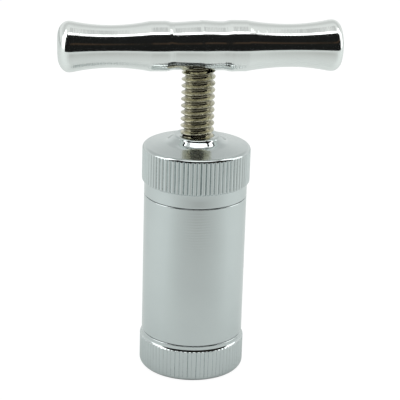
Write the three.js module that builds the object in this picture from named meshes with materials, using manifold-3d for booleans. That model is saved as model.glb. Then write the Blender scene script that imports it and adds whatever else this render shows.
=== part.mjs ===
// A screw press for crushing tablets: a T-handled screw turns in the top cap of a short barrel
// and drives one piston towards another. Millimetres, +Z up, handle along X.
// The origin is on the screw's axis, in the plane that the base cap stands on.
import * as THREE from 'three';
import { mergeVertices } from 'three/addons/utils/BufferGeometryUtils.js';
import Module from 'manifold-3d';

const wasm = await Module();
wasm.setup();

// ---- driving dimensions ----
const GAP = 0.3; // between neighbouring pieces that touch on the real press

const BARREL_RADIUS = 15.3;
const BORE_RADIUS = 12;
const BASE_SEAM = 11.4; // height where the barrel meets the base cap
const TOP_SEAM = 54.8; // height where the top cap meets the barrel
const SEAM_BEVEL = 0.2;

const CLOSURE_RADIUS = 13.95; // over the barrel's two threaded ends
const CLOSURE_RELIEF = 0.7; // depth and height of the groove beside each shoulder
const BASE_SPIGOT_LENGTH = 6.7;
const TOP_SPIGOT_LENGTH = 10.7;

const KNURL_TEETH = 76; // round each cap

const BASE_RADIUS = 15.83; // over the base cap's knurl
const BASE_FLOOR = 3.5; // thickness under the lower piston
const BASE_KNURL_TOP = 10.05;
const BASE_EDGE = 1.7; // rounding of the underside's rim
const BASE_TOOTH_DEPTH = 0.3;

const CAP_RADIUS = 16.05; // over the top cap's knurl
const CAP_KNURL_BOTTOM = 58.6;
const CAP_KNURL_CHAMFER = 0.8;
const CAP_KNURL_TOP = 69.1;
const CAP_EDGE_WIDTH = 1.9; // rounding between knurl and roof
const CAP_EDGE_HEIGHT = 1.9;
const CAP_ROOF = 69.75; // height of the roof at that rounding
const CAP_CEILING = 66.9; // underside of the roof
const CAP_TOOTH_DEPTH = 0.4;
const BOSS_TOP = 73.05;
const BOSS_FLAT = 6.1; // radius of the flat round the screw
const BOSS_EDGE_WIDTH = 1.1; // rounding of the boss's edge
const BOSS_EDGE_HEIGHT = 0.9;
const BOSS_COVE_RADIUS = 12.33; // centre of the hollow sweep between boss and roof
const BOSS_COVE_MIDDLE = 72.47;
const BOSS_COVE_WIDTH = 4.6;
const BOSS_COVE_HEIGHT = 2.2;

const SCREW_PITCH = 2;
const SCREW_RADIUS = 4.95;
const THREAD_DEPTH = 1.1;
const THREAD_CREST = 0.3; // width of the flat on each crest
const THREAD_STEPS = 12; // sides of one turn
const THREAD_CLEARANCE = 0.35; // radial, screw in cap
const TIP_RADIUS = 3.9; // plain tip that turns in the upper piston
const TIP_NECK_RADIUS = 3;
const TIP_NECK_HEIGHT = 4.6;

const PISTON_CLEARANCE = 0.2; // radial, piston in bore
const PISTON_CHAMFER = 0.5;
const LOWER_PISTON_HEIGHT = 10;
const UPPER_PISTON_HEIGHT = 12;
const TRAVEL_DOWN = 19; // from the stored position until the pistons meet
const SOCKET_DEPTH = 8; // in the upper piston's top

const SET_SCREW_RADIUS = 2;
const SET_SCREW_RECESS = 0.8; // below the piston's side
const SET_SCREW_KEY = 1; // half the width across the flats of its socket
const SET_SCREW_KEY_DEPTH = 2;

const HANDLE_AXIS = 99.55;
const HANDLE_HALF_LENGTH = 41.4;
const HANDLE_END_FLAT = 3; // radius of the flat on each end
const HANDLE_HOLE_DEPTH = 8; // blind hole for the screw
const HANDLE_MIDDLE = { at: 0, radius: 7.2 };
const HANDLE_GROOVE = { at: 7.4, radius: 6.8 };
const HANDLE_BULGE_INNER = { at: 9.8, radius: 7.22 };
const HANDLE_BULGE = { at: 11.9, radius: 7.28 };
const HANDLE_BULGE_OUTER = { at: 14.4, radius: 7.16 };
const HANDLE_WAIST = { at: 25.8, radius: 6.07 };
const HANDLE_END = { at: 38.05, radius: 7.32 };

// ---- heights and radii that follow from them ----
const LOWER_PISTON_BOTTOM = BASE_FLOOR + GAP;
const LOWER_PISTON_TOP = LOWER_PISTON_BOTTOM + LOWER_PISTON_HEIGHT;
const UPPER_PISTON_BOTTOM = LOWER_PISTON_TOP + GAP + TRAVEL_DOWN;
const UPPER_PISTON_TOP = UPPER_PISTON_BOTTOM + UPPER_PISTON_HEIGHT;
const SOCKET_FLOOR = UPPER_PISTON_TOP - SOCKET_DEPTH;
const SET_SCREW_HEIGHT = UPPER_PISTON_TOP - SOCKET_DEPTH / 2;
const PISTON_RADIUS = BORE_RADIUS - PISTON_CLEARANCE;
const CLOSURE_BORE = CLOSURE_RADIUS + GAP; // inside both caps
const THREAD_BOTTOM = UPPER_PISTON_TOP + 2 * GAP;
const HANDLE_UNDERSIDE = HANDLE_AXIS - HANDLE_MIDDLE.radius;
const SCREW_TOP = HANDLE_UNDERSIDE + HANDLE_HOLE_DEPTH - GAP;

const ROUND_SIDES = 40;
const SMALL_SIDES = 24;
const HANDLE_SIDES = 28;
const BEYOND = 1; // how far a cutter runs past the face that it opens

// ---- finishes ----
const chrome = { color: 0xc6cbca, roughness: 0.12, metalness: 1 };
const turnedAluminium = { color: 0xd9dadb, roughness: 0.25, metalness: 1 };
const nickel = { color: 0xa8a293, roughness: 0.22, metalness: 1 };
const brushedSteel = { color: 0xb4b6b8, roughness: 0.35, metalness: 1 };
const blackSteel = { color: 0x2a2a2c, roughness: 0.5, metalness: 1 };

// ---- solids and booleans ----
function toSolid(geometry) {
  const bare = geometry.clone();
  bare.deleteAttribute('normal');
  bare.deleteAttribute('uv');
  const merged = mergeVertices(bare, 1e-4);
  const mesh = new wasm.Mesh({
    numProp: 3,
    vertProperties: new Float32Array(merged.attributes.position.array),
    triVerts: new Uint32Array(merged.index.array),
  });
  return new wasm.Manifold(mesh);
}

function toGeometry(solid) {
  const mesh = solid.getMesh();
  const geometry = new THREE.BufferGeometry();
  geometry.setAttribute('position', new THREE.BufferAttribute(mesh.vertProperties, 3));
  geometry.setIndex(new THREE.BufferAttribute(mesh.triVerts, 1));
  geometry.computeVertexNormals();
  return geometry;
}

function indexedGeometry(positions, index) {
  const geometry = new THREE.BufferGeometry();
  geometry.setAttribute('position', new THREE.Float32BufferAttribute(positions, 3));
  geometry.setIndex(index);
  return geometry;
}

// A solid of revolution about Z. Its outline of [radius, height] starts and ends on the axis.
function turned(outline, sides = ROUND_SIDES) {
  const points = outline.map(([radius, height]) => new THREE.Vector2(radius, height));
  return toSolid(new THREE.LatheGeometry(points, sides).rotateX(Math.PI / 2));
}

function disc(radius, low, high, sides = ROUND_SIDES) {
  return turned([[0, low], [radius, low], [radius, high], [0, high]], sides);
}

// Points on an ellipse about `centre`; `start` and `end` count quarter turns.
function arc(centre, width, height, start, end, steps) {
  return Array.from({ length: steps + 1 }, (_, i) => {
    const angle = (start + ((end - start) * i) / steps) * (Math.PI / 2);
    return [centre[0] + width * Math.cos(angle), centre[1] + height * Math.sin(angle)];
  });
}

// The tooth gaps of a straight knurl: one upright V-shaped cutter beside each tooth.
function knurlGaps(radius, depth, teeth, low, high) {
  const outside = 0.2; // reach past the crests
  const spread = (0.92 * Math.PI / teeth) * (1 + outside / depth);
  const faces = [0, 2, 1, 3, 4, 5, 0, 1, 4, 0, 4, 3, 1, 2, 5, 1, 5, 4, 2, 0, 3, 2, 3, 5];
  const positions = [];
  const index = [];
  for (let tooth = 0; tooth < teeth; tooth += 1) {
    const middle = (2 * Math.PI * tooth) / teeth;
    const first = positions.length / 3;
    for (const height of [low, high]) {
      for (const [reach, side] of [[-depth, 0], [outside, -spread], [outside, spread]]) {
        const angle = middle + side;
        positions.push((radius + reach) * Math.cos(angle), (radius + reach) * Math.sin(angle), height);
      }
    }
    index.push(...faces.map((corner) => corner + first));
  }
  return toSolid(indexedGeometry(positions, index));
}

// A right-hand 60 degree thread as one solid, with rough ends for the caller to trim.
// Each turn has four edges, and its last step joins the first step of the turn above.
// `grown` moves the whole surface outwards, which turns the screw into a cutter for its nut.
function roughThread(low, turns, grown) {
  const crest = SCREW_RADIUS + grown;
  const root = crest - THREAD_DEPTH;
  const flank = THREAD_DEPTH * Math.tan(Math.PI / 6);
  const rootFlat = SCREW_PITCH - 2 * flank - THREAD_CREST;
  const edges = [
    [root, -rootFlat / 2],
    [root, rootFlat / 2],
    [crest, rootFlat / 2 + flank],
    [crest, rootFlat / 2 + flank + THREAD_CREST],
  ];
  const lastRow = turns * edges.length;
  const positions = [];
  for (let row = 0; row <= lastRow; row += 1) {
    const [radius, offset] = edges[row % edges.length];
    const turn = Math.floor(row / edges.length);
    for (let step = 0; step < THREAD_STEPS; step += 1) {
      const angle = (2 * Math.PI * step) / THREAD_STEPS;
      const height = low + offset + SCREW_PITCH * (turn + step / THREAD_STEPS);
      positions.push(radius * Math.cos(angle), radius * Math.sin(angle), height);
    }
  }
  const lowCentre = positions.length / 3;
  const highCentre = lowCentre + 1;
  positions.push(0, 0, low);
  positions.push(0, 0, low + SCREW_PITCH * (turns + 0.5));

  const corner = (row, step) =>
    step < THREAD_STEPS ? row * THREAD_STEPS + step : (row + edges.length) * THREAD_STEPS;
  const index = [];
  for (let row = 0; row < lastRow; row += 1) {
    const closes = row + 1 + edges.length <= lastRow;
    const steps = closes ? THREAD_STEPS : THREAD_STEPS - 1;
    for (let step = 0; step < steps; step += 1) {
      const [a, b] = [corner(row, step), corner(row, step + 1)];
      const [c, d] = [corner(row + 1, step + 1), corner(row + 1, step)];
      index.push(a, b, c, a, c, d);
    }
  }
  const lowRim = [];
  const highRim = [];
  for (let step = 0; step < THREAD_STEPS; step += 1) {
    lowRim.push(corner(0, step));
    highRim.push(corner(lastRow, step));
  }
  for (let edge = 0; edge < edges.length; edge += 1) {
    lowRim.push(corner(edges.length - edge, 0));
    highRim.push(corner(lastRow - 1 - edge, THREAD_STEPS - 1));
  }
  lowRim.forEach((here, i) => index.push(lowCentre, lowRim[(i + 1) % lowRim.length], here));
  highRim.forEach((here, i) => index.push(highCentre, here, highRim[(i + 1) % highRim.length]));
  return toSolid(indexedGeometry(positions, index));
}

// ---- the pieces ----
function baseCap() {
  const rim = BASE_SEAM - GAP / 2;
  const blank = turned([
    [0, 0],
    ...arc([BASE_RADIUS - BASE_EDGE, BASE_EDGE], BASE_EDGE, BASE_EDGE, -1, 0, 4),
    [BASE_RADIUS, BASE_KNURL_TOP],
    [BARREL_RADIUS, rim - SEAM_BEVEL],
    [BARREL_RADIUS - SEAM_BEVEL, rim],
    [0, rim],
  ]);
  const cup = disc(CLOSURE_BORE, BASE_FLOOR, rim + BEYOND);
  const gaps = knurlGaps(BASE_RADIUS, BASE_TOOTH_DEPTH, KNURL_TEETH, BASE_EDGE / 2, BASE_KNURL_TOP);
  return toGeometry(blank.subtract(cup).subtract(gaps));
}

function barrel() {
  const lowShoulder = BASE_SEAM + GAP / 2;
  const highShoulder = TOP_SEAM - GAP / 2;
  const foot = lowShoulder - GAP - BASE_SPIGOT_LENGTH;
  const head = highShoulder + GAP + TOP_SPIGOT_LENGTH;
  const reliefRadius = CLOSURE_RADIUS - CLOSURE_RELIEF;
  const outside = turned([
    [0, foot],
    [CLOSURE_RADIUS - CLOSURE_RELIEF, foot],
    [CLOSURE_RADIUS, foot + CLOSURE_RELIEF],
    [CLOSURE_RADIUS, lowShoulder - 2 * CLOSURE_RELIEF],
    [reliefRadius, lowShoulder - CLOSURE_RELIEF],
    [reliefRadius, lowShoulder],
    [BARREL_RADIUS - SEAM_BEVEL, lowShoulder],
    [BARREL_RADIUS, lowShoulder + SEAM_BEVEL],
    [BARREL_RADIUS, highShoulder - SEAM_BEVEL],
    [BARREL_RADIUS - SEAM_BEVEL, highShoulder],
    [reliefRadius, highShoulder],
    [reliefRadius, highShoulder + CLOSURE_RELIEF],
    [CLOSURE_RADIUS, highShoulder + 2 * CLOSURE_RELIEF],
    [CLOSURE_RADIUS, head - CLOSURE_RELIEF],
    [CLOSURE_RADIUS - CLOSURE_RELIEF, head],
    [0, head],
  ]);
  return toGeometry(outside.subtract(disc(BORE_RADIUS, foot - BEYOND, head + BEYOND)));
}

function topCap() {
  const rim = TOP_SEAM + GAP / 2;
  const edgeFoot = CAP_ROOF - CAP_EDGE_HEIGHT;
  const edgeInside = CAP_RADIUS - CAP_EDGE_WIDTH;
  const blank = turned([
    [0, rim],
    [BARREL_RADIUS - SEAM_BEVEL, rim],
    [BARREL_RADIUS, rim + SEAM_BEVEL],
    [BARREL_RADIUS, CAP_KNURL_BOTTOM],
    [CAP_RADIUS, CAP_KNURL_BOTTOM + CAP_KNURL_CHAMFER],
    ...arc([edgeInside, edgeFoot], CAP_EDGE_WIDTH, CAP_EDGE_HEIGHT, 0, 1, 4),
    ...arc([BOSS_COVE_RADIUS, BOSS_COVE_MIDDLE], BOSS_COVE_WIDTH, BOSS_COVE_HEIGHT, -1.25, -1.71, 5),
    ...arc([BOSS_FLAT, BOSS_TOP - BOSS_EDGE_HEIGHT], BOSS_EDGE_WIDTH, BOSS_EDGE_HEIGHT, 0.35, 1, 4),
    [0, BOSS_TOP],
  ]);
  const cup = disc(CLOSURE_BORE, rim - BEYOND, CAP_CEILING);
  const turnsBelow = Math.floor((CAP_CEILING - THREAD_BOTTOM) / SCREW_PITCH) - 2;
  const turns = Math.ceil((BOSS_TOP - CAP_CEILING) / SCREW_PITCH) + 4;
  const nut = roughThread(THREAD_BOTTOM + turnsBelow * SCREW_PITCH, turns, THREAD_CLEARANCE)
    .intersect(disc(SCREW_RADIUS + BEYOND, CAP_CEILING - BEYOND, BOSS_TOP + BEYOND, SMALL_SIDES));
  const gaps = knurlGaps(CAP_RADIUS, CAP_TOOTH_DEPTH, KNURL_TEETH, CAP_KNURL_BOTTOM, CAP_KNURL_TOP);
  return toGeometry(blank.subtract(cup).subtract(nut).subtract(gaps));
}

function pressScrew() {
  const turns = Math.ceil((SCREW_TOP - THREAD_BOTTOM) / SCREW_PITCH) + 3;
  const tipEnd = SOCKET_FLOOR + GAP;
  const neckLow = SET_SCREW_HEIGHT - TIP_NECK_HEIGHT / 2;
  const neckHigh = SET_SCREW_HEIGHT + TIP_NECK_HEIGHT / 2;
  const neckStep = TIP_RADIUS - TIP_NECK_RADIUS;
  const envelope = turned([
    [0, THREAD_BOTTOM],
    [SCREW_RADIUS - THREAD_DEPTH, THREAD_BOTTOM],
    [SCREW_RADIUS + BEYOND, THREAD_BOTTOM + THREAD_DEPTH + BEYOND],
    [SCREW_RADIUS + BEYOND, SCREW_TOP - THREAD_DEPTH - BEYOND],
    [SCREW_RADIUS - THREAD_DEPTH, SCREW_TOP],
    [0, SCREW_TOP],
  ], SMALL_SIDES);
  const thread = roughThread(THREAD_BOTTOM - SCREW_PITCH, turns, 0).intersect(envelope);
  const tip = turned([
    [0, tipEnd],
    [TIP_RADIUS - GAP, tipEnd],
    [TIP_RADIUS, tipEnd + GAP],
    [TIP_RADIUS, neckLow],
    [TIP_NECK_RADIUS, neckLow],
    [TIP_NECK_RADIUS, neckHigh],
    [TIP_NECK_RADIUS + neckStep, neckHigh],
    [TIP_RADIUS, THREAD_BOTTOM + GAP],
    [0, THREAD_BOTTOM + GAP],
  ], SMALL_SIDES);
  return toGeometry(thread.add(tip));
}

function pistonBlank(low, high) {
  return turned([
    [0, low],
    [PISTON_RADIUS - PISTON_CHAMFER, low],
    [PISTON_RADIUS, low + PISTON_CHAMFER],
    [PISTON_RADIUS, high - PISTON_CHAMFER],
    [PISTON_RADIUS - PISTON_CHAMFER, high],
    [0, high],
  ]);
}

// Turns a solid that stands on Z so that it points from the axis towards -Y at the set screw's height.
function aimSideways(solid) {
  return solid.rotate([90, 0, 0]).translate([0, 0, SET_SCREW_HEIGHT]);
}

function upperPiston() {
  const socket = disc(TIP_RADIUS + GAP, SOCKET_FLOOR, UPPER_PISTON_TOP + BEYOND, SMALL_SIDES);
  const sideHole = aimSideways(disc(SET_SCREW_RADIUS + GAP, TIP_RADIUS, PISTON_RADIUS + BEYOND, SMALL_SIDES));
  const blank = pistonBlank(UPPER_PISTON_BOTTOM, UPPER_PISTON_TOP);
  return toGeometry(blank.subtract(socket).subtract(sideHole));
}

function pistonSetScrew() {
  const point = TIP_NECK_RADIUS + GAP;
  const outerEnd = PISTON_RADIUS - SET_SCREW_RECESS;
  const body = turned([
    [0, point],
    [SET_SCREW_RADIUS / 2, point],
    [SET_SCREW_RADIUS, point + SET_SCREW_RADIUS / 2],
    [SET_SCREW_RADIUS, outerEnd],
    [0, outerEnd],
  ], SMALL_SIDES);
  const acrossCorners = SET_SCREW_KEY / Math.cos(Math.PI / 6);
  const key = disc(acrossCorners, outerEnd - SET_SCREW_KEY_DEPTH, outerEnd + BEYOND, 6);
  return toGeometry(aimSideways(body.subtract(key)));
}

// Points along the handle's outline between two stations, leaving each one level.
function easedStretch(from, to, steps) {
  return Array.from({ length: steps }, (_, i) => {
    const part = (i + 1) / steps;
    const eased = (1 - Math.cos(Math.PI * part)) / 2;
    return [from.radius + (to.radius - from.radius) * eased, from.at + (to.at - from.at) * part];
  });
}

function handleBar() {
  const tipSetback = HANDLE_HALF_LENGTH - HANDLE_END.at;
  const tipRise = HANDLE_END.radius - HANDLE_END_FLAT;
  const half = [
    [HANDLE_MIDDLE.radius, HANDLE_MIDDLE.at],
    ...easedStretch(HANDLE_MIDDLE, HANDLE_GROOVE, 3),
    [HANDLE_BULGE_INNER.radius, HANDLE_BULGE_INNER.at],
    [HANDLE_BULGE.radius, HANDLE_BULGE.at],
    [HANDLE_BULGE_OUTER.radius, HANDLE_BULGE_OUTER.at],
    ...easedStretch(HANDLE_BULGE_OUTER, HANDLE_WAIST, 4),
    ...easedStretch(HANDLE_WAIST, HANDLE_END, 5),
    ...arc([HANDLE_END_FLAT, HANDLE_END.at], tipRise, tipSetback, 0, 1, 5).slice(1),
    [0, HANDLE_HALF_LENGTH],
  ];
  const otherHalf = half.slice(1).reverse().map(([radius, along]) => [radius, -along]);
  const bar = turned([...otherHalf, ...half], HANDLE_SIDES).rotate([0, 90, 0]).translate([0, 0, HANDLE_AXIS]);
  const holeTop = HANDLE_UNDERSIDE + HANDLE_HOLE_DEPTH;
  const hole = disc(SCREW_RADIUS + GAP, HANDLE_UNDERSIDE - BEYOND, holeTop, SMALL_SIDES);
  return toGeometry(bar.subtract(hole));
}

// ---- the assembly ----
function piece(name, geometry, finish) {
  const mesh = new THREE.Mesh(geometry, new THREE.MeshStandardMaterial(finish));
  mesh.name = name;
  return mesh;
}

const press = new THREE.Group();
press.add(piece('bottom_cap', baseCap(), chrome));
press.add(piece('barrel', barrel(), chrome));
press.add(piece('lower_piston', toGeometry(pistonBlank(LOWER_PISTON_BOTTOM, LOWER_PISTON_TOP)), brushedSteel));
press.add(piece('top_cap', topCap(), chrome));
press.add(piece('upper_piston', upperPiston(), brushedSteel));
press.add(piece('piston_set_screw', pistonSetScrew(), blackSteel));
press.add(piece('press_screw', pressScrew(), nickel));
press.add(piece('handle_bar', handleBar(), turnedAluminium));

export default press;
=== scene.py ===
import math
import random

import bmesh
import bpy
from mathutils import Matrix, Vector


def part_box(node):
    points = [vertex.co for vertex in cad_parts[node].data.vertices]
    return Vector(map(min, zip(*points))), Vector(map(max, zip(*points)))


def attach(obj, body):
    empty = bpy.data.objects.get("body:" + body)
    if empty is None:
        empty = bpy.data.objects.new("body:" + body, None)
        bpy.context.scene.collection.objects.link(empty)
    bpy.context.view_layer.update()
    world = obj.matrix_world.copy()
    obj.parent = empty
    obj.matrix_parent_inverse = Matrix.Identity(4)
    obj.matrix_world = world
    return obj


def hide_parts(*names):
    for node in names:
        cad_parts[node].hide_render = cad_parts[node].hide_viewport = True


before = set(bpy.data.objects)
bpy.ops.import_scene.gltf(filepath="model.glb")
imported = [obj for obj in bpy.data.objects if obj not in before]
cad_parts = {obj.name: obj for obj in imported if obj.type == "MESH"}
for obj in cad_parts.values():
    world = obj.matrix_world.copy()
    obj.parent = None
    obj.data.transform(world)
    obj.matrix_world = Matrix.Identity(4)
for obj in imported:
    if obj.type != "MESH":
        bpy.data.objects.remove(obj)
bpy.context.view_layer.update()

MM = 0.001
TAU = 2 * math.pi


def cad_box(node):
    """A CAD node's lowest and highest corners in millimetres."""
    low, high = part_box(node)
    return [c / MM for c in low], [c / MM for c in high]


# ---- sizes that the frame gives ----
barrel_low, barrel_high = cad_box("barrel")
base_low, base_high = cad_box("bottom_cap")
cap_low, cap_high = cad_box("top_cap")
screw_low, screw_high = cad_box("press_screw")
handle_low, handle_high = cad_box("handle_bar")
upper_low, upper_high = cad_box("upper_piston")
lower_low, lower_high = cad_box("lower_piston")
set_screw_low, set_screw_high = cad_box("piston_set_screw")

BARREL_RADIUS = barrel_high[0]
BARREL_FOOT = barrel_low[2]
BARREL_HEAD = barrel_high[2]
PISTON_RADIUS = upper_high[0]
BORE_RADIUS = PISTON_RADIUS + 0.2
BASE_RADIUS = base_high[0]
BASE_RIM = base_high[2] + 0.08
CAP_RADIUS = cap_high[1]
CAP_RIM = cap_low[2] - 0.08
BOSS_TOP = cap_high[2]
SCREW_RADIUS = screw_high[0]
HANDLE_AXIS = (handle_low[2] + handle_high[2]) / 2
HANDLE_RADIUS = handle_high[1]

# ---- sizes of the finer detail ----
SEAM_GAP = 0.14  # the fine seam between the barrel's shoulders and the caps' rims
SEAM_BEVEL = 0.22
CLOSURE_RADIUS = 13.95
CLOSURE_BORE = 14.25
CLOSURE_PITCH = 1.5
CLOSURE_DEPTH = 0.55
CLOSURE_RELIEF = 0.7

BASE_FLOOR = 3.5
BASE_RIM_HEIGHT = 0.95  # plain rim above the knurl's flare
BASE_FLARE = 0.96
BASE_HOLLOW = 1.0  # rounding of the flare's hollow
BASE_EDGE = 1.7
BASE_TOOTH_DEPTH = 0.30

CAP_BAND = 3.85  # plain band between the upper seam and the knurl
CAP_FLARE = 0.75
CAP_CORNER = 1.1  # tighter rounding at the knurl's upper end
CAP_SHOULDER = 1.3  # broader rounding from there to the roof
CAP_CORNER_ANGLE = 42  # degrees from the horizontal where the two meet
CAP_ROOF = 69.88
CAP_CEILING = 66.9
CAP_TOOTH_DEPTH = 0.68
KNURL_END_ANGLE = 20  # degrees round the corner where the teeth run out
BOSS_FLAT = 6.3  # radius of the flat round the screw
BOSS_EDGE = 0.85  # rounding at the flat's rim
BOSS_STEEPEST = math.radians(33)  # the normal's elevation where the boss is steepest
BOSS_LIP = 2.4  # hollow rounding from there to the flank
BOSS_FLANK = 0.77  # width, and height, of the flank at 45 degrees
BOSS_SWEEP = 3.0  # hollow rounding between the flank and the roof

SCREW_PITCH = 2
THREAD_DEPTH = 1.1
ROOT_ROUNDING = 0.5
CREST_ROUNDING = 0.17
THREAD_START = upper_high[2] + 0.6
NUT_CLEARANCE = 0.15
THREAD_CREST_LAND = 0.08  # half width of a crest's flat, with clearance
THREAD_SLOPE = 1.2  # radial drop of a flank for each millimetre along the screw
TIP_RADIUS = 3.9
TIP_NECK_RADIUS = 3
TIP_NECK_HEIGHT = 4.6
SCREW_HOLE_RADIUS = SCREW_RADIUS + 0.1
SOCKET_RADIUS = 4.2
SOCKET_DEPTH = 8
SET_SCREW_RADIUS = 2

MIDDLE_RADIUS = HANDLE_RADIUS - 0.10
GROOVE_RADIUS = HANDLE_RADIUS - 0.48
STRIP_RADIUS = HANDLE_RADIUS - 0.08
WAIST_RADIUS = HANDLE_RADIUS - 1.25
BULGE_RADIUS = HANDLE_RADIUS
# distances from the screw along the bar; the two arms are not quite alike
LEFT_ARM = {"groove": 7.7, "strip": 9.75, "strip_end": 14.4, "waist": 25.5, "bulge": 37.6, "end": 40.85,
            "end_flat": 3.0, "scale": 1.0}
RIGHT_ARM = {"groove": 6.9, "strip": 9.15, "strip_end": 13.6, "waist": 26.4, "bulge": 38.9, "end": 41.4,
             "end_flat": 4.9, "scale": 1.025}

RIPPLE_PITCH = 0.85  # faint chatter marks round the barrel's upper half
RIPPLE_HEIGHT = 0.0035

KNURL_TEETH = 76
TOOTH_SHAPE = (0.0, 0.14, 0.26, 0.38, 0.5, 0.62, 0.74, 0.86)  # places across a tooth where its outline bends
TOOTH_DEPTHS = (0.0, 0.03, 0.15, 0.5, 1.0, 0.5, 0.15, 0.03)

HANDLE_SIDES = 144
ROUND_SIDES = 256


# ---- mesh helpers ----
def smoothstep(edge0, edge1, x):
    t = min(max((x - edge0) / (edge1 - edge0), 0.0), 1.0)
    return t * t * (3 - 2 * t)


def arc(centre, width, height, start, end, steps):
    """Points on an ellipse; start and end are degrees from the outward direction."""
    points = []
    for i in range(steps + 1):
        angle = math.radians(start + (end - start) * i / steps)
        points.append((centre[0] + width * math.cos(angle), centre[1] + height * math.sin(angle)))
    return points


def line(a, b, steps):
    """The points from a towards b, without b."""
    return [(a[0] + (b[0] - a[0]) * i / steps, a[1] + (b[1] - a[1]) * i / steps) for i in range(steps)]


def finish_mesh(bm, name, sharp_degrees=32):
    """Welds the seam, removes empty faces, points the normals outwards and makes the object."""
    bmesh.ops.remove_doubles(bm, verts=bm.verts, dist=1e-7)
    bmesh.ops.dissolve_degenerate(bm, edges=bm.edges, dist=1e-8)
    bmesh.ops.recalc_face_normals(bm, faces=bm.faces)
    mesh = bpy.data.meshes.new(name)
    bm.to_mesh(mesh)
    bm.free()
    for polygon in mesh.polygons:
        polygon.use_smooth = True
    mesh.set_sharp_from_angle(angle=math.radians(sharp_degrees))
    piece = bpy.data.objects.new(name, mesh)
    bpy.context.scene.collection.objects.link(piece)
    return piece


def round_grid(rows, turns, point):
    """A bmesh skin; point(row, column) gives radius and height in millimetres.

    `turns` are the columns' places round the axis, as parts of a turn.
    """
    bm = bmesh.new()
    columns = len(turns) - 1
    grid = []
    for row in range(rows):
        ring = []
        for column, turn in enumerate(turns):
            radius, height = point(row, column)
            place = (radius * MM * math.cos(TAU * turn), radius * MM * math.sin(TAU * turn), height * MM)
            ring.append(bm.verts.new(place))
        grid.append(ring)
    for row in range(rows - 1):
        for column in range(columns):
            here, above = grid[row], grid[row + 1]
            bm.faces.new((here[column], here[column + 1], above[column + 1], above[column]))
    return bm


def even_turns(columns):
    return [column / columns for column in range(columns + 1)]


def revolved(name, outline, turns, warp=None, sharp_degrees=32):
    """A solid of revolution; the outline closes on itself or starts and ends on the axis."""
    points = list(outline)
    if points[0][0] > 0:
        points.append(points[0])

    def point(row, column):
        radius, height = points[row]
        return warp(radius, height, column) if warp else (radius, height)

    return finish_mesh(round_grid(len(points), turns, point), name, sharp_degrees)


def knurl(seed):
    """Slightly uneven teeth: a list of (part of the turn, depth), depth from 0 on a crest to about 1."""
    rng = random.Random(seed)
    places = []
    for tooth in range(KNURL_TEETH):
        strength = rng.uniform(0.7, 1.0)
        lean = rng.uniform(-0.07, 0.07)
        for part, depth in zip(TOOTH_SHAPE, TOOTH_DEPTHS):
            shift = lean * min(1.0, 4 * min(part, 1 - part))
            places.append(((tooth + part + shift) / KNURL_TEETH, depth * strength))
    return places


def thread_form(turns):
    """Rounded thread: 0 on a crest and 1 in a root, from the height counted in turns."""
    part = turns % 1.0
    return smoothstep(0.08, 0.42, part) * (1 - smoothstep(0.58, 0.92, part))


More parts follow.
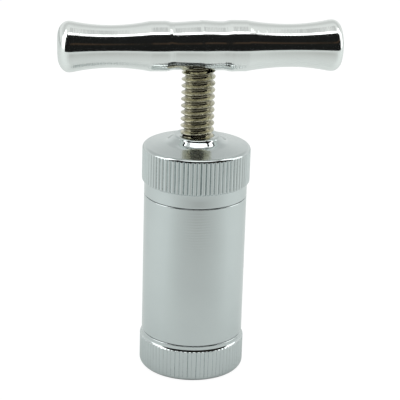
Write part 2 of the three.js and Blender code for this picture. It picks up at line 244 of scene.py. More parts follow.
# ---- materials ----
class Recipe:
    """A procedural material under construction, with short names for its nodes."""

    def __init__(self, name):
        self.material = bpy.data.materials.new(name)
        self.material.use_nodes = True
        self.tree = self.material.node_tree
        self.shader = self.tree.nodes["Principled BSDF"]
        self.place = self.tree.nodes.new("ShaderNodeTexCoord").outputs["Object"]

    def node(self, kind, settings=None, **inputs):
        made = self.tree.nodes.new(kind)
        for key, value in (settings or {}).items():
            setattr(made, key, value)
        for key, value in inputs.items():
            socket = made.inputs[int(key[1:])] if key[0] == "_" else made.inputs[key]
            if isinstance(value, bpy.types.NodeSocket):
                self.tree.links.new(value, socket)
            else:
                socket.default_value = value
        return made

    def axis(self, letter):
        return self.node("ShaderNodeSeparateXYZ", Vector=self.place).outputs[letter]

    def maths(self, operation, a, b=0.0, c=0.0):
        return self.node("ShaderNodeMath", {"operation": operation}, _0=a, _1=b, _2=c).outputs[0]

    def noise(self, per_mm, detail=2.0, roughness=0.5):
        made = self.node(
            "ShaderNodeTexNoise", Vector=self.place, Scale=per_mm / MM, Detail=detail, Roughness=roughness
        )
        return made.outputs["Fac"]

    def rings(self, letter, per_mm, detail=3.0):
        """Irregular turning marks: noise that changes only along one axis."""
        along = self.axis(letter)
        settings = {"noise_dimensions": "1D"}
        made = self.node("ShaderNodeTexNoise", settings, W=along, Scale=per_mm / MM, Detail=detail)
        return made.outputs["Fac"]

    def pits(self, per_mm, size, share):
        """Sparse round pits: 1 in a pit and 0 elsewhere. `share` of the cells have one."""
        cells = self.node("ShaderNodeTexVoronoi", Vector=self.place, Scale=per_mm / MM)
        dots = self.ramp(cells.outputs["Distance"], size, size * 0.5, 0.0, 1.0)
        chance = self.node("ShaderNodeSeparateColor", Color=cells.outputs["Color"]).outputs[0]
        chosen = self.maths("LESS_THAN", chance, share)
        return self.maths("MULTIPLY", dots, chosen)

    def ramp(self, value, low, high, to_low, to_high):
        made = self.node(
            "ShaderNodeMapRange", {"interpolation_type": "SMOOTHSTEP"},
            Value=value, _1=low, _2=high, _3=to_low, _4=to_high,
        )
        return made.outputs[0]

    def blend_colours(self, factor, first, second):
        made = self.node("ShaderNodeMix", {"data_type": "RGBA"}, _0=factor)
        for socket, colour in zip([s for s in made.inputs if s.type == "RGBA"], (first, second)):
            socket.default_value = (*colour, 1)
        return [s for s in made.outputs if s.type == "RGBA"][0]

    def radius(self):
        """Distance from the object's upright axis."""
        flat = self.node("ShaderNodeVectorMath", {"operation": "MULTIPLY"}, _0=self.place, _1=(1, 1, 0))
        return self.node("ShaderNodeVectorMath", {"operation": "LENGTH"}, _0=flat.outputs[0]).outputs["Value"]

    def bump(self, height, distance_mm, strength=1.0, under=None):
        made = self.node("ShaderNodeBump", Height=height, Distance=distance_mm * MM, Strength=strength)
        if under is not None:
            self.tree.links.new(under, made.inputs["Normal"])
        return made.outputs[0]

    def wire(self, **sockets):
        for key, value in sockets.items():
            socket = self.shader.inputs[key.replace("_", " ")]
            if isinstance(value, bpy.types.NodeSocket):
                self.tree.links.new(value, socket)
            else:
                socket.default_value = value
        return self.material


def chrome_plate():
    """Bright plate over a turned blank: faint rings, ripples high on the barrel and a few small pits."""
    r = Recipe("chrome_plate")
    cloud = r.noise(0.09, 3.0)
    pits = r.pits(0.42, 0.07, 0.05)
    colour = r.blend_colours(cloud, (0.585, 0.625, 0.625), (0.64, 0.68, 0.68))
    wavy = r.bump(r.noise(0.35, 1.0), 0.02, 0.35)
    ringed = r.bump(r.rings("Z", 1.9, 1.0), 0.006, 0.5, wavy)
    height = r.axis("Z")
    wander = r.maths("MULTIPLY", r.noise(0.12, 1.0), 7.0)
    ripple = r.maths("SINE", r.maths("MULTIPLY_ADD", height, TAU / (RIPPLE_PITCH * MM), wander))
    rise = r.ramp(height, (BARREL_HEAD - 30) * MM, (BARREL_HEAD - 16) * MM, 0.0, 1.0)
    fall = r.ramp(height, (CAP_RIM - 1.0) * MM, CAP_RIM * MM, 1.0, 0.0)
    share = r.maths("MULTIPLY", rise, fall)
    rippled = r.bump(r.maths("MULTIPLY", ripple, share), RIPPLE_HEIGHT, 1.0, ringed)
    pitted = r.bump(r.maths("SUBTRACT", 1.0, pits), 0.05, 0.6, rippled)
    normal = r.node("ShaderNodeNewGeometry").outputs["Normal"]
    up = r.node("ShaderNodeSeparateXYZ", Vector=normal).outputs["Z"]
    faced = r.ramp(up, 0.90, 0.985, 0.0, 0.14)
    rough = r.maths("ADD", r.ramp(r.noise(0.6, 4.0), 0.35, 0.75, 0.035, 0.085), faced)
    return r.wire(Metallic=1.0, Base_Color=colour, Roughness=rough, Normal=pitted)


def turned_aluminium():
    """Turned and polished bar: fine marks run round it, a little deeper here and there."""
    r = Recipe("turned_aluminium")
    wander = r.maths("MULTIPLY", r.rings("X", 0.9, 2.0), 9.0)
    phase = r.maths("MULTIPLY_ADD", r.axis("X"), TAU / (0.42 * MM), wander)
    grooves = r.maths("SINE", phase)
    marks = r.maths("MULTIPLY_ADD", r.rings("X", 2.4, 2.0), 2.2, grooves)
    patches = r.rings("X", 0.16, 1.0)
    colour = r.blend_colours(r.noise(0.12, 3.0), (0.80, 0.825, 0.81), (0.86, 0.88, 0.865))
    strength = r.ramp(patches, 0.35, 0.7, 0.45, 1.0)
    scored = r.bump(marks, 0.006, 0.6)
    r.tree.links.new(strength, scored.node.inputs["Strength"])
    rough = r.ramp(r.rings("X", 5.0, 2.0), 0.3, 0.8, 0.05, 0.13)
    return r.wire(Metallic=1.0, Base_Color=colour, Roughness=rough, Normal=scored)


def nickel_plate():
    """Warm bright nickel on a rolled thread, a little duller and darker in stained patches, with painted
    shade darkening the thread's roots.
    """
    r = Recipe("nickel_plate")
    stain = r.ramp(r.noise(0.5, 5.0, 0.6), 0.4, 0.7, 0.0, 0.6)
    root = (SCREW_RADIUS - THREAD_DEPTH) * MM
    # painted shade: the colour darkens towards the thread's root radius, where shade falls between the flanks
    root_shade = r.ramp(r.radius(), root, root + 0.5 * MM, 0.8, 0.0)
    stain_and_root_shade = r.maths("MAXIMUM", stain, root_shade)
    colour = r.blend_colours(stain_and_root_shade, (0.64, 0.61, 0.48), (0.15, 0.135, 0.09))
    grain = r.bump(r.noise(1.6, 2.0, 0.5), 0.10, 0.7)
    rough = r.ramp(r.noise(1.1, 3.0), 0.3, 0.7, 0.05, 0.14)
    return r.wire(Metallic=1.0, Base_Color=colour, Roughness=rough, Normal=grain)


def turned_steel():
    """Faced and turned steel of the pistons."""
    r = Recipe("turned_steel")
    settings = {"noise_dimensions": "1D"}
    facing = r.node("ShaderNodeTexNoise", settings, W=r.radius(), Scale=3.4 / MM, Detail=2.0)
    marks = r.maths("ADD", facing.outputs["Fac"], r.rings("Z", 3.4, 2.0))
    colour = r.blend_colours(r.noise(0.2, 3.0), (0.52, 0.53, 0.53), (0.62, 0.63, 0.63))
    rough = r.ramp(r.noise(0.8, 4.0), 0.3, 0.7, 0.16, 0.30)
    return r.wire(Metallic=1.0, Base_Color=colour, Roughness=rough, Normal=r.bump(marks, 0.015, 0.5))


def black_oxide():
    """Black oxide finish of the small screw, with the steel showing faintly through."""
    r = Recipe("black_oxide")
    worn = r.ramp(r.noise(1.6, 4.0), 0.5, 0.75, 0.0, 1.0)
    colour = r.blend_colours(worn, (0.035, 0.036, 0.04), (0.12, 0.12, 0.125))
    rough = r.ramp(worn, 0.0, 1.0, 0.42, 0.28)
    return r.wire(Metallic=1.0, Base_Color=colour, Roughness=rough, Normal=r.bump(worn, 0.01, 0.4))


def dress(piece, body, node, material):
    """Gives a new piece its material and body, and hides the CAD node that it stands for."""
    piece.data.materials.append(material)
    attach(piece, body)
    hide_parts(node)


# ---- the barrel ----
def spigot_thread(radius, height, column):
    """Cuts the closure threads into the barrel's two necks."""
    shoulders = (BASE_RIM + SEAM_GAP, CAP_RIM - SEAM_GAP)
    if abs(radius - CLOSURE_RADIUS) > 1e-6:
        return radius, height
    inside = min(abs(height - shoulders[0]), abs(height - shoulders[1]))
    ends = min(height - BARREL_FOOT, BARREL_HEAD - height)
    fade = smoothstep(0.8, 1.6, inside) * smoothstep(0.5, 1.3, ends)
    turn = column / ROUND_SIDES
    return radius - CLOSURE_DEPTH * fade * thread_form(height / CLOSURE_PITCH - turn), height


def make_barrel():
    low_shoulder = BASE_RIM + SEAM_GAP
    high_shoulder = CAP_RIM - SEAM_GAP
    relief = CLOSURE_RADIUS - CLOSURE_RELIEF
    edge = 0.35
    neck_end = BARREL_HEAD - CLOSURE_RELIEF
    thread_step = CLOSURE_PITCH / 14
    low_rows = round((low_shoulder - BARREL_FOOT - 2) / thread_step)
    high_rows = round((BARREL_HEAD - high_shoulder - 2) / thread_step)
    outline = [
        (BORE_RADIUS, BARREL_FOOT + edge),
        (BORE_RADIUS + edge, BARREL_FOOT),
        (CLOSURE_RADIUS - CLOSURE_RELIEF, BARREL_FOOT),
        *line((CLOSURE_RADIUS, BARREL_FOOT + CLOSURE_RELIEF), (CLOSURE_RADIUS, low_shoulder - 1.2), low_rows),
        (CLOSURE_RADIUS, low_shoulder - 1.2),
        (relief, low_shoulder - 0.7),
        (relief, low_shoulder - 0.1),
        (relief + 0.1, low_shoulder),
        (BARREL_RADIUS - SEAM_BEVEL, low_shoulder),
        *arc((BARREL_RADIUS - SEAM_BEVEL, low_shoulder + SEAM_BEVEL), SEAM_BEVEL, SEAM_BEVEL, -75, 0, 4),
        *line((BARREL_RADIUS, low_shoulder + 0.6), (BARREL_RADIUS, high_shoulder - 0.6), 24),
        (BARREL_RADIUS, high_shoulder - 0.6),
        *arc((BARREL_RADIUS - SEAM_BEVEL, high_shoulder - SEAM_BEVEL), SEAM_BEVEL, SEAM_BEVEL, 0, 75, 4),
        (BARREL_RADIUS - SEAM_BEVEL, high_shoulder),
        (relief + 0.1, high_shoulder),
        (relief, high_shoulder + 0.1),
        (relief, high_shoulder + 0.7),
        *line((CLOSURE_RADIUS, high_shoulder + 1.2), (CLOSURE_RADIUS, neck_end), high_rows),
        (CLOSURE_RADIUS, neck_end),
        (CLOSURE_RADIUS - CLOSURE_RELIEF, BARREL_HEAD),
        (BORE_RADIUS + edge, BARREL_HEAD),
        (BORE_RADIUS, BARREL_HEAD - edge),
    ]
    return revolved("barrel_shell", outline, even_turns(ROUND_SIDES), spigot_thread)


# ---- the two caps ----
def inside_thread(radius, height, turn, low, high):
    """The closure thread inside a cap, faded out towards both ends of its wall."""
    fade = smoothstep(low, low + 0.8, height) * (1 - smoothstep(high - 0.8, high, height))
    return radius + CLOSURE_DEPTH * fade * thread_form(height / CLOSURE_PITCH - turn + 0.5), height


def make_base_cap():
    places = knurl(seed=11)
    turns = [turn for turn, depth in places] + [1 + places[0][0]]
    depths = [depth for turn, depth in places] + [places[0][1]]
    rim_foot = BASE_RIM - BASE_RIM_HEIGHT
    flare_foot = rim_foot - BASE_FLARE
    thread_rows = round((BASE_RIM - BASE_FLOOR - 1.6) / CLOSURE_PITCH * 12)
    outline = [
        (0, 0),
        (BASE_RADIUS * 0.5, 0),
        (BASE_RADIUS - BASE_EDGE - 0.4, 0),
        *arc((BASE_RADIUS - BASE_EDGE, BASE_EDGE), BASE_EDGE, BASE_EDGE, -90, 0, 12),
        *line((BASE_RADIUS, BASE_EDGE + 0.3), (BASE_RADIUS, flare_foot), 10),
        (BASE_RADIUS, flare_foot),
        (BASE_RADIUS - 0.005, flare_foot + 0.06),
        *arc((BARREL_RADIUS + BASE_HOLLOW, rim_foot), BASE_HOLLOW, BASE_HOLLOW, -120, -180, 11),
        (BARREL_RADIUS, rim_foot + 0.05),
        *line((BARREL_RADIUS, rim_foot + 0.2), (BARREL_RADIUS, BASE_RIM - SEAM_BEVEL), 4),
        *arc((BARREL_RADIUS - SEAM_BEVEL, BASE_RIM - SEAM_BEVEL), SEAM_BEVEL, SEAM_BEVEL, 0, 90, 4),
        (CLOSURE_BORE + 0.35, BASE_RIM),
        (CLOSURE_BORE, BASE_RIM - 0.35),
        *line((CLOSURE_BORE, BASE_RIM - 0.5), (CLOSURE_BORE, BASE_FLOOR + 0.5), thread_rows),
        (CLOSURE_BORE, BASE_FLOOR + 0.5),
        (CLOSURE_BORE - 0.2, BASE_FLOOR + 0.06),
        (CLOSURE_BORE - 0.4, BASE_FLOOR),
        (0, BASE_FLOOR),
    ]

    def warp(radius, height, column):
        outside = radius > BARREL_RADIUS + 0.05
        if outside and BASE_EDGE * 0.25 < height < flare_foot + BASE_FLARE * 0.55:
            return min(radius, BASE_RADIUS - BASE_TOOTH_DEPTH * depths[column]), height
        if abs(radius - CLOSURE_BORE) < 1e-6:
            return inside_thread(radius, height, turns[column], BASE_FLOOR + 0.6, BASE_RIM - 0.4)
        return radius, height

    return revolved("base_cap_shell", outline, turns, warp, 38)


def nut_thread(radius, height, turn):
    """The press screw's thread seen from its nut: deepest where the screw's crests run."""
    along = (height - THREAD_START) / SCREW_PITCH - turn - 0.5
    away = abs(along - round(along)) * SCREW_PITCH  # distance from the nearest crest of the screw
    tooth = min(max(away - THREAD_CREST_LAND, 0) * THREAD_SLOPE, THREAD_DEPTH - NUT_CLEARANCE)
    entry = min(height - CAP_CEILING, BOSS_TOP - height, 0.6) / 0.6
    return radius - tooth * entry, height


def shoulder_outline():
    """The top cap's rounding up to the teeth's ends, the rounding above them, and where the roof starts."""
    bend = math.radians(CAP_CORNER_ANGLE)
    foot = CAP_ROOF - CAP_SHOULDER + (CAP_SHOULDER - CAP_CORNER) * math.sin(bend)
    inside = CAP_RADIUS - CAP_CORNER - (CAP_SHOULDER - CAP_CORNER) * math.cos(bend)
    corner_centre = (CAP_RADIUS - CAP_CORNER, foot)
    roof_centre = (inside, CAP_ROOF - CAP_SHOULDER)
    toothed = arc(corner_centre, CAP_CORNER, CAP_CORNER, 0, KNURL_END_ANGLE, 6)
    plain = arc(corner_centre, CAP_CORNER, CAP_CORNER, KNURL_END_ANGLE + 1, CAP_CORNER_ANGLE, 5)
    plain += arc(roof_centre, CAP_SHOULDER, CAP_SHOULDER, CAP_CORNER_ANGLE + 3, 90, 9)
    return toothed, plain, (inside - 0.5, CAP_ROOF + 0.08)


def boss_outline(roof_start):
    """From the roof up to the flat round the screw: hollow sweep, flank, hollow lip and rounded edge."""
    cosine, sine = math.cos(BOSS_STEEPEST), math.sin(BOSS_STEEPEST)
    steepest = math.degrees(BOSS_STEEPEST)
    lip_end = (BOSS_FLAT + BOSS_EDGE * cosine, BOSS_TOP - BOSS_EDGE * (1 - sine))
    lip_centre = (lip_end[0] + BOSS_LIP * cosine, lip_end[1] + BOSS_LIP * sine)
    lip = arc(lip_centre, BOSS_LIP, BOSS_LIP, -135, steepest - 180, 5)
    radius, height = lip[0]
    reach = BOSS_SWEEP * math.sqrt(0.5)
    sweep_centre = (radius + BOSS_FLANK + reach, height - BOSS_FLANK + reach)
    sweep = arc(sweep_centre, BOSS_SWEEP, BOSS_SWEEP, -100, -135, 10)
    edge_centre = (BOSS_FLAT, BOSS_TOP - BOSS_EDGE)
    return [
        *line(roof_start, sweep[0], 7),
        *sweep,
        *line((radius + BOSS_FLANK * 0.9, height - BOSS_FLANK * 0.9), lip[0], 5),
        *lip,
        *arc(edge_centre, BOSS_EDGE, BOSS_EDGE, steepest + 4, 90, 12),
    ]


def make_top_cap():
    places = knurl(seed=5)
    turns = [turn for turn, depth in places] + [1 + places[0][0]]
    depths = [depth for turn, depth in places] + [places[0][1]]
    band_top = CAP_RIM + CAP_BAND
    knurl_foot = band_top + CAP_FLARE
    corner, shoulder, roof_start = shoulder_outline()
    edge_foot = corner[0][1]
    ledge, knurl_top = corner[-1]
    thread_rows = round((CAP_CEILING - CAP_RIM - 1) / CLOSURE_PITCH * 6)
    nut_radius = SCREW_RADIUS + NUT_CLEARANCE
    nut_rows = round((BOSS_TOP - CAP_CEILING) / SCREW_PITCH * 7)
    outline = [
        (CLOSURE_BORE + 0.35, CAP_RIM),
        *arc((BARREL_RADIUS - SEAM_BEVEL, CAP_RIM + SEAM_BEVEL), SEAM_BEVEL, SEAM_BEVEL, -90, 0, 4),
        *line((BARREL_RADIUS, CAP_RIM + 0.6), (BARREL_RADIUS, band_top - 0.25), 2),
        (BARREL_RADIUS + 0.01, band_top - 0.12),
        (BARREL_RADIUS + 0.06, band_top + 0.05),
        *line((BARREL_RADIUS + 0.12, band_top + 0.2), (CAP_RADIUS - 0.03, knurl_foot - 0.1), 5),
        (CAP_RADIUS - 0.03, knurl_foot - 0.1),
        (CAP_RADIUS, knurl_foot + 0.15),
        *line((CAP_RADIUS, knurl_foot + 0.6), (CAP_RADIUS, edge_foot), 3),
        *corner,
        (ledge - 0.008, knurl_top + 0.02),
        *shoulder,
        *boss_outline(roof_start),
        (nut_radius + 0.3, BOSS_TOP),
        (nut_radius, BOSS_TOP - 0.3),
        *line((nut_radius, BOSS_TOP - 0.3), (nut_radius, CAP_CEILING + 0.3), nut_rows),
        (nut_radius, CAP_CEILING + 0.3),
        (nut_radius + 0.3, CAP_CEILING),
        *line((CLOSURE_BORE - 4, CAP_CEILING), (CLOSURE_BORE - 0.2, CAP_CEILING), 3),
        *line((CLOSURE_BORE, CAP_CEILING - 0.2), (CLOSURE_BORE, CAP_RIM + 0.4), thread_rows),
        (CLOSURE_BORE, CAP_RIM + 0.4),
    ]

    def warp(radius, height, column):
        if radius > BARREL_RADIUS + 0.005 and band_top - 0.3 < height <= knurl_top:
            return min(radius, CAP_RADIUS - CAP_TOOTH_DEPTH * depths[column]), height
        if abs(radius - nut_radius) < 1e-6 and CAP_CEILING < height < BOSS_TOP:
            return nut_thread(radius, height, turns[column])
        if abs(radius - CLOSURE_BORE) < 1e-6:
            return inside_thread(radius, height, turns[column], CAP_RIM + 0.5, CAP_CEILING - 0.5)
        return radius, height

    return revolved("top_cap_shell", outline, turns, warp, 38)


# ---- the screw ----
def make_press_screw():
    columns = 96
    crest = SCREW_RADIUS
    root = crest - THREAD_DEPTH
    root_curve = [(root + radius, height) for radius, height in
                  arc((ROOT_ROUNDING, 0), -ROOT_ROUNDING, ROOT_ROUNDING, -58, 58, 6)]
    crest_curve = [(crest + radius, SCREW_PITCH / 2 + height) for radius, height in
                   arc((-CREST_ROUNDING, 0), CREST_ROUNDING, CREST_ROUNDING, -60, 60, 4)]
    flank_up = ((root_curve[-1][0] + crest_curve[0][0]) / 2, (root_curve[-1][1] + crest_curve[0][1]) / 2)
    flank_down = (flank_up[0], SCREW_PITCH - flank_up[1])
    form = [*root_curve, flank_up, *crest_curve, flank_down]
    tip_end = screw_low[2]
    neck = (set_screw_low[2] + set_screw_high[2]) / 2
    tip = [
        (0, tip_end),
        (TIP_RADIUS - 0.4, tip_end),
        (TIP_RADIUS, tip_end + 0.4),
        (TIP_RADIUS, neck - TIP_NECK_HEIGHT / 2),
        (TIP_NECK_RADIUS, neck - TIP_NECK_HEIGHT / 2 + 0.05),
        (TIP_NECK_RADIUS, neck + TIP_NECK_HEIGHT / 2 - 0.05),
        (TIP_RADIUS - 0.05, neck + TIP_NECK_HEIGHT / 2),
        (root - 0.02, THREAD_START - 0.2),
    ]
    top = screw_high[2]
    turns = math.ceil((top - THREAD_START) / SCREW_PITCH) + 2
    rows = len(tip) + turns * len(form) + 1

    def point(row, column):
        if row < len(tip):
            return tip[row]
        if row == rows - 1:
            return 0, top
        step = row - len(tip)
        radius, offset = form[step % len(form)]
        height = THREAD_START + SCREW_PITCH * (step // len(form) - 1 + column / columns) + offset
        height = min(max(height, THREAD_START), top)
        ends = min(height - THREAD_START, top - height)
        return min(radius, root + ends * 1.2), height

    return finish_mesh(round_grid(rows, even_turns(columns), point), "press_screw_thread", 50)


# ---- the handle ----
def arm_outline(arm):
    """One arm of the bar, as radius and distance from the middle: groove, flat strip, waist, round end."""
    scale = arm["scale"]
    middle, groove, strip = (r * scale for r in (MIDDLE_RADIUS, GROOVE_RADIUS, STRIP_RADIUS))
    waist, bulge = WAIST_RADIUS * scale, BULGE_RADIUS * scale

    def eased(start, end, steps):
        (r0, x0), (r1, x1) = start, end
        parts = [i / steps for i in range(steps)]
        return [(r0 + (r1 - r0) * smoothstep(0, 1, part), x0 + (x1 - x0) * part) for part in parts]

    def sweep(edge_radius, edge, steps):
        """The hollow of the waist, a parabola that meets the neighbouring land at an edge."""
        rise = (edge_radius - waist) / (edge - arm["waist"]) ** 2
        return [(waist + rise * (x - arm["waist"]) ** 2, x)
                for x in (arm["waist"] + (edge - arm["waist"]) * i / steps for i in range(steps + 1))]

    shoulder = arm["bulge"] - 1.3
    points = eased((middle, 0.0), (groove, arm["groove"]), 14)
    points += [(groove, arm["groove"]), (groove + 0.02, arm["groove"] + 0.1)]
    points += eased((groove + 0.04, arm["groove"] + 0.15), (strip - 0.03, arm["strip"]), 8)
    points += [(strip - 0.03, arm["strip"]), (strip, arm["strip"] + 0.15)]
    points += line((strip, arm["strip"] + 0.3), (strip - 0.05, arm["strip_end"]), 10)
    points += sweep(strip - 0.05, arm["strip_end"], 26)[::-1]
    points += sweep(bulge - 0.16, shoulder, 26)[1:]
    points += [(bulge - 0.05, shoulder + 0.65)]
    end_flat = arm["end_flat"]
    points += arc((end_flat, arm["bulge"]), bulge - end_flat, arm["end"] - arm["bulge"], 0, 90, 24)
    points += [(end_flat * 0.5, arm["end"]), (0, arm["end"])]
    return points


def make_handle():
    left = [(r, -x) for r, x in reversed(arm_outline(LEFT_ARM))]
    outline = left + arm_outline(RIGHT_ARM)[1:]
    bar = revolved("handle_bar_turned", outline, even_turns(HANDLE_SIDES), sharp_degrees=60)
    bar.data.transform(Matrix.Translation((0, 0, HANDLE_AXIS * MM)) @ Matrix.Rotation(math.pi / 2, 4, "Y"))
    foot = HANDLE_AXIS - HANDLE_RADIUS - 1
    end = screw_high[2] + 0.2
    hole_outline = [(0, foot), (SCREW_HOLE_RADIUS, foot), (SCREW_HOLE_RADIUS, end), (0, end)]
    hole = revolved("handle_hole", hole_outline, even_turns(96))
    cut = bar.modifiers.new("hole", "BOOLEAN")
    cut.object = hole
    cut.solver = "EXACT"
    apply_modifiers(bar)
    bar.data.set_sharp_from_angle(angle=math.radians(60))
    bpy.data.objects.remove(hole)
    return bar


# ---- the pistons and the set screw ----
def piston_outline(low, high):
    edge = 0.5
    radius = PISTON_RADIUS
    return [
        (0, low),
        *line((radius * 0.3, low), (radius - edge - 0.1, low), 5),
        *arc((radius - edge, low + edge), edge, edge, -90, 0, 6),
        *arc((radius - edge, high - edge), edge, edge, 0, 90, 6),
    ]


def make_lower_piston():
    low, high = lower_low[2], lower_high[2]
    outline = piston_outline(low, high)
    outline += [*line((PISTON_RADIUS * 0.9, high), (PISTON_RADIUS * 0.3, high), 4), (0, high)]
    return revolved("lower_piston_turned", outline, even_turns(160))


def make_upper_piston():
    low, high = upper_low[2], upper_high[2]
    edge = 0.35
    outline = piston_outline(low, high)
    outline += [
        (SOCKET_RADIUS + 3, high),
        (SOCKET_RADIUS + edge, high),
        (SOCKET_RADIUS, high - edge),
        (SOCKET_RADIUS, high - SOCKET_DEPTH + edge),
        (SOCKET_RADIUS - edge, high - SOCKET_DEPTH),
        (0, high - SOCKET_DEPTH),
    ]
    piston = revolved("upper_piston_turned", outline, even_turns(160))
    drill(piston, SET_SCREW_RADIUS + 0.3, (set_screw_low[2] + set_screw_high[2]) / 2)
    return piston


def drill(piece, radius, height):
    """Bores a hole from the axis out towards -Y."""
    bm = bmesh.new()
    bmesh.ops.create_cone(bm, cap_ends=True, segments=48, radius1=radius * MM, radius2=radius * MM,
                          depth=PISTON_RADIUS * MM)
    cutter = finish_mesh(bm, "drill")
    middle = (0, -(PISTON_RADIUS * 0.5 + TIP_RADIUS) * MM, height * MM)
    cutter.data.transform(Matrix.Translation(middle) @ Matrix.Rotation(math.pi / 2, 4, "X"))
    cut = piece.modifiers.new("drill", "BOOLEAN")
    cut.object = cutter
    cut.operation = "DIFFERENCE"
    cut.solver = "EXACT"
    apply_modifiers(piece)
    piece.data.set_sharp_from_angle(angle=math.radians(32))
    bpy.data.objects.remove(cutter)


def apply_modifiers(piece):
    graph = bpy.context.evaluated_depsgraph_get()
    mesh = bpy.data.meshes.new_from_object(piece.evaluated_get(graph))
    old = piece.data
    piece.modifiers.clear()
    piece.data = mesh
    mesh.name = piece.name
    bpy.data.meshes.remove(old)


def make_set_screw():
    inner, outer = -set_screw_high[1], -set_screw_low[1]
    pitch = 0.7
    depth = 0.28
    key_radius = 1.15
    sides = 72
    rows = 10
    steps = round((outer - inner - 1.6) / pitch * rows)
    outline = [
        (0, inner),
        (SET_SCREW_RADIUS * 0.5, inner),
        (SET_SCREW_RADIUS - 0.1, inner + 0.9),
        *line((SET_SCREW_RADIUS, inner + 1.0), (SET_SCREW_RADIUS, outer - 0.3), steps),
        (SET_SCREW_RADIUS, outer - 0.3),
        (SET_SCREW_RADIUS - 0.3, outer),
        (key_radius + 0.15, outer),
        (key_radius, outer - 0.12),
        (key_radius, outer - 2.0),
        (0, outer - 2.4),
    ]

    def warp(radius, height, column):
        turn = column / sides
        if abs(radius - SET_SCREW_RADIUS) < 1e-6:
            fade = smoothstep(inner + 1.0, inner + 1.6, height)
            fade *= 1 - smoothstep(outer - 0.8, outer - 0.3, height)
            return radius - depth * fade * thread_form(height / pitch - turn), height
        if abs(radius - key_radius) < 0.2 and height > outer - 2.1:
            corner = (turn * 6) % 1.0 - 0.5
            hexagon = math.cos(math.pi / 6) / math.cos(corner * math.pi / 3)
            return radius * hexagon, height
        return radius, height

    screw = revolved("set_screw_black", outline, even_turns(sides), warp, 35)
    aim = Matrix.Translation((0, 0, (set_screw_low[2] + set_screw_high[2]) / 2 * MM))
    screw.data.transform(aim @ Matrix.Rotation(math.pi / 2, 4, "X"))
    return screw


# ---- assembly ----
chrome = chrome_plate()
steel = turned_steel()
dress(make_base_cap(), "base", "bottom_cap", chrome)
dress(make_barrel(), "barrel", "barrel", chrome)
dress(make_top_cap(), "cap", "top_cap", chrome)
dress(make_press_screw(), "screw", "press_screw", nickel_plate())
dress(make_handle(), "screw", "handle_bar", turned_aluminium())
dress(make_upper_piston(), "upper_piston", "upper_piston", steel)
dress(make_lower_piston(), "lower_piston", "lower_piston", steel)
dress(make_set_screw(), "upper_piston", "piston_set_screw", black_oxide())


# ---- the studio: white floor, soft tent light, open dark side towards the viewer ----
def plain_surface(name, verts, faces):
    mesh = bpy.data.meshes.new(name)
    mesh.from_pydata(verts, [], faces)
    surface = bpy.data.objects.new(name, mesh)
    bpy.context.scene.collection.objects.link(surface)
    return surface


def make_floor():
    size = 6.0
    corners = [(-size, -size, 0), (size, -size, 0), (size, size, 0), (-size, size, 0)]
    floor = plain_surface("floor", corners, [(0, 1, 2, 3)])
    material = bpy.data.materials.new("floor")
    material.use_nodes = True
    tree = material.node_tree
    shader = tree.nodes["Principled BSDF"]
    shader.inputs["Roughness"].default_value = 1.0
    shader.inputs["Specular IOR Level"].default_value = 0.0
    rays = tree.nodes.new("ShaderNodeLightPath")
    place = tree.nodes.new("ShaderNodeTexCoord")
    # painted shade: a darker patch on the floor in front of the object, which the chrome shows in its
    # reflections
    front_shade_mapping = tree.nodes.new("ShaderNodeMapping")
    front_shade_mapping.vector_type = "TEXTURE"
    front_shade_mapping.inputs["Location"].default_value = (0, -0.20, 0)
    front_shade_mapping.inputs["Scale"].default_value = (0.20, 0.19, 1)
    painted_front_shade = tree.nodes.new("ShaderNodeTexGradient")
    painted_front_shade.gradient_type = "SPHERICAL"
    shade = tree.nodes.new("ShaderNodeMix")
    shade.data_type = "RGBA"
    tree.links.new(place.outputs["Object"], front_shade_mapping.inputs["Vector"])
    tree.links.new(front_shade_mapping.outputs[0], painted_front_shade.inputs["Vector"])
    tree.links.new(painted_front_shade.outputs["Fac"], shade.inputs[0])
    shades = [s for s in shade.inputs if s.type == "RGBA"]
    shades[0].default_value = (0.60, 0.62, 0.615, 1)
    shades[1].default_value = (0.42, 0.425, 0.415, 1)
    # painted light: the floor's colour grows lighter towards the sides, away from the dark front
    side = tree.nodes.new("ShaderNodeVectorMath")
    side.operation = "NORMALIZE"
    parts = tree.nodes.new("ShaderNodeSeparateXYZ")
    tree.links.new(place.outputs["Object"], side.inputs[0])
    tree.links.new(side.outputs["Vector"], parts.inputs[0])
    factor = parts.outputs["X"]
    for operation, numbers in (("ABSOLUTE", ()), ("POWER", (5.0,)), ("MULTIPLY_ADD", (0.13, 0.97))):
        step = tree.nodes.new("ShaderNodeMath")
        step.operation = operation
        tree.links.new(factor, step.inputs[0])
        for socket, number in zip(step.inputs[1:], numbers):
            socket.default_value = number
        factor = step.outputs[0]
    scaled = tree.nodes.new("ShaderNodeVectorMath")
    scaled.operation = "SCALE"
    tree.links.new([s for s in shade.outputs if s.type == "RGBA"][0], scaled.inputs[0])
    tree.links.new(factor, scaled.inputs["Scale"])
    tree.links.new(scaled.outputs["Vector"], shader.inputs["Base Color"])
    white = tree.nodes.new("ShaderNodeEmission")
    amount = tree.nodes.new("ShaderNodeMath")
    amount.operation = "MULTIPLY"
    amount.inputs[1].default_value = 0.88
    mix = tree.nodes.new("ShaderNodeMixShader")
    tree.links.new(rays.outputs["Is Camera Ray"], amount.inputs[0])
    tree.links.new(amount.outputs[0], mix.inputs[0])
    tree.links.new(shader.outputs[0], mix.inputs[1])
    tree.links.new(white.outputs[0], mix.inputs[2])
    tree.links.new(mix.outputs[0], tree.nodes["Material Output"].inputs["Surface"])
    white.inputs["Strength"].default_value = 1.08
    floor.data.materials.append(material)


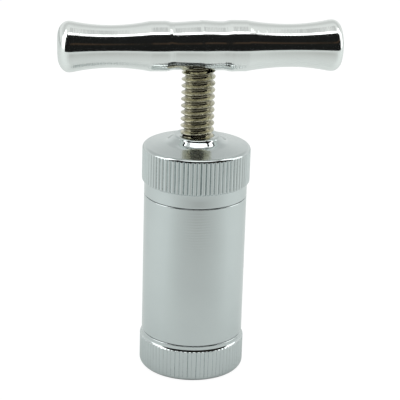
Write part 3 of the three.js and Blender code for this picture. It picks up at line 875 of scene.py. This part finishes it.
def glow_card(name, verts, faces, colour):
    """A piece of the studio that only reflections see, as bright as its colour."""
    card = plain_surface(name, verts, faces)
    for kind in ("camera", "diffuse", "shadow", "transmission", "volume_scatter"):
        setattr(card, f"visible_{kind}", False)
    material = bpy.data.materials.new(name)
    material.use_nodes = True
    tree = material.node_tree
    tree.nodes.remove(tree.nodes["Principled BSDF"])
    glow = tree.nodes.new("ShaderNodeEmission")
    glow.inputs["Color"].default_value = (*colour, 1)
    tree.links.new(glow.outputs[0], tree.nodes["Material Output"].inputs["Surface"])
    card.data.materials.append(material)


def curved_card(name, radius, low, high, left, right, colour):
    """A glow card on an upright cylinder; left and right are degrees from the front, to +X."""
    steps = 32
    verts = []
    for i in range(steps + 1):
        angle = math.radians(left + (right - left) * i / steps - 90)
        for z in (low, high):
            verts.append((radius * math.cos(angle), radius * math.sin(angle), z))
    faces = [(2 * i, 2 * i + 2, 2 * i + 3, 2 * i + 1) for i in range(steps)]
    glow_card(name, verts, faces, colour)


def add_panel(name, place, aim, width, height, radiance):
    """A soft light panel of the given size, as bright as `radiance` where a reflection shows it."""
    light = bpy.data.lights.new(name, "AREA")
    light.shape = "RECTANGLE"
    light.size, light.size_y = width, height
    light.energy = radiance * math.pi * width * height
    panel = bpy.data.objects.new(name, light)
    panel.location = place
    panel.rotation_mode = "QUATERNION"
    panel.rotation_quaternion = (Vector(aim) - Vector(place)).to_track_quat("-Z", "Y")
    panel.visible_camera = False
    bpy.context.scene.collection.objects.link(panel)


def make_world():
    world = bpy.data.worlds.new("tent")
    bpy.context.scene.world = world
    world.use_nodes = True
    tree = world.node_tree
    light = tree.nodes["Background"]
    direction = tree.nodes.new("ShaderNodeTexCoord")
    height = tree.nodes.new("ShaderNodeSeparateXYZ")
    bands = tree.nodes.new("ShaderNodeValToRGB")
    tree.links.new(direction.outputs["Generated"], height.inputs[0])
    tree.links.new(height.outputs["Z"], bands.inputs["Fac"])
    tree.links.new(bands.outputs["Color"], light.inputs["Color"])
    stops = bands.color_ramp.elements
    stops[0].position, stops[1].position = 0.0, 1.0
    for position in (0.30, 0.52, 0.70, 0.86):
        stops.new(position)
    for stop, level in zip(stops, (0.86, 0.84, 0.67, 0.66, 0.83, 0.85)):
        stop.color = (level * 0.97, level, level * 0.985, 1)
    white = tree.nodes.new("ShaderNodeBackground")
    white.inputs["Color"].default_value = (1, 1, 1, 1)
    rays = tree.nodes.new("ShaderNodeLightPath")
    mix = tree.nodes.new("ShaderNodeMixShader")
    tree.links.new(rays.outputs["Is Camera Ray"], mix.inputs[0])
    tree.links.new(light.outputs[0], mix.inputs[1])
    tree.links.new(white.outputs[0], mix.inputs[2])
    tree.links.new(mix.outputs[0], tree.nodes["World Output"].inputs["Surface"])


def make_camera():
    distance, lens, sensor = 0.44877, 135.0, 36.0
    azimuth, elevation, roll = math.radians(-8.70), math.radians(19.26), math.radians(1.72)
    aim_right, aim_below_seam = 1.49, 2.48
    target = Vector((aim_right * MM, 0, (CAP_RIM - aim_below_seam) * MM))
    back = Vector((
        math.sin(azimuth) * math.cos(elevation),
        -math.cos(azimuth) * math.cos(elevation),
        math.sin(elevation),
    ))
    data = bpy.data.cameras.new("camera")
    data.lens = lens
    data.sensor_width = sensor
    data.clip_start = 0.01
    camera = bpy.data.objects.new("camera", data)
    bpy.context.scene.collection.objects.link(camera)
    camera.rotation_mode = "QUATERNION"
    turn = (-back).to_track_quat("-Z", "Y")
    camera.rotation_quaternion = turn @ Matrix.Rotation(roll, 4, "Z").to_quaternion()
    camera.location = target + back * distance
    bpy.context.scene.camera = camera


make_floor()
curved_card("dark_side", 0.52, 0.0, 1.32, -71, 76, (0.009, 0.0095, 0.009))
curved_card("warm_strip", 0.515, 0.28, 0.38, -12, 72, (0.024, 0.018, 0.013))
curved_card("warm_strip_middle", 0.51, 0.31, 0.355, 5, 70, (0.052, 0.034, 0.022))
vent = [(0.02, -0.175, 0.98), (0.23, -0.175, 0.98), (0.23, 0.29, 0.98), (0.02, 0.29, 0.98)]
glow_card("vent", vent, [(0, 1, 2, 3)], (0.60, 0.615, 0.61))
screen = [(-0.5, -0.185, 0.99), (0.5, -0.185, 0.99), (0.5, 0.29, 0.99), (-0.5, 0.29, 0.99)]
glow_card("soft_screen", screen, [(0, 1, 2, 3)], (0.83, 0.85, 0.835))
make_world()
add_panel("light_above", (0, -0.045, 1.0), (0, -0.045, 0), 2.4, 0.64, 1.8)
add_panel("light_left", (-0.9, 0.0, 0.35), (0, 0, 0.06), 0.5, 0.7, 1.05)
add_panel("light_right", (0.9, 0.0, 0.35), (0, 0, 0.06), 0.5, 0.7, 1.05)
make_camera()
bpy.context.scene.view_settings.view_transform = "Standard"
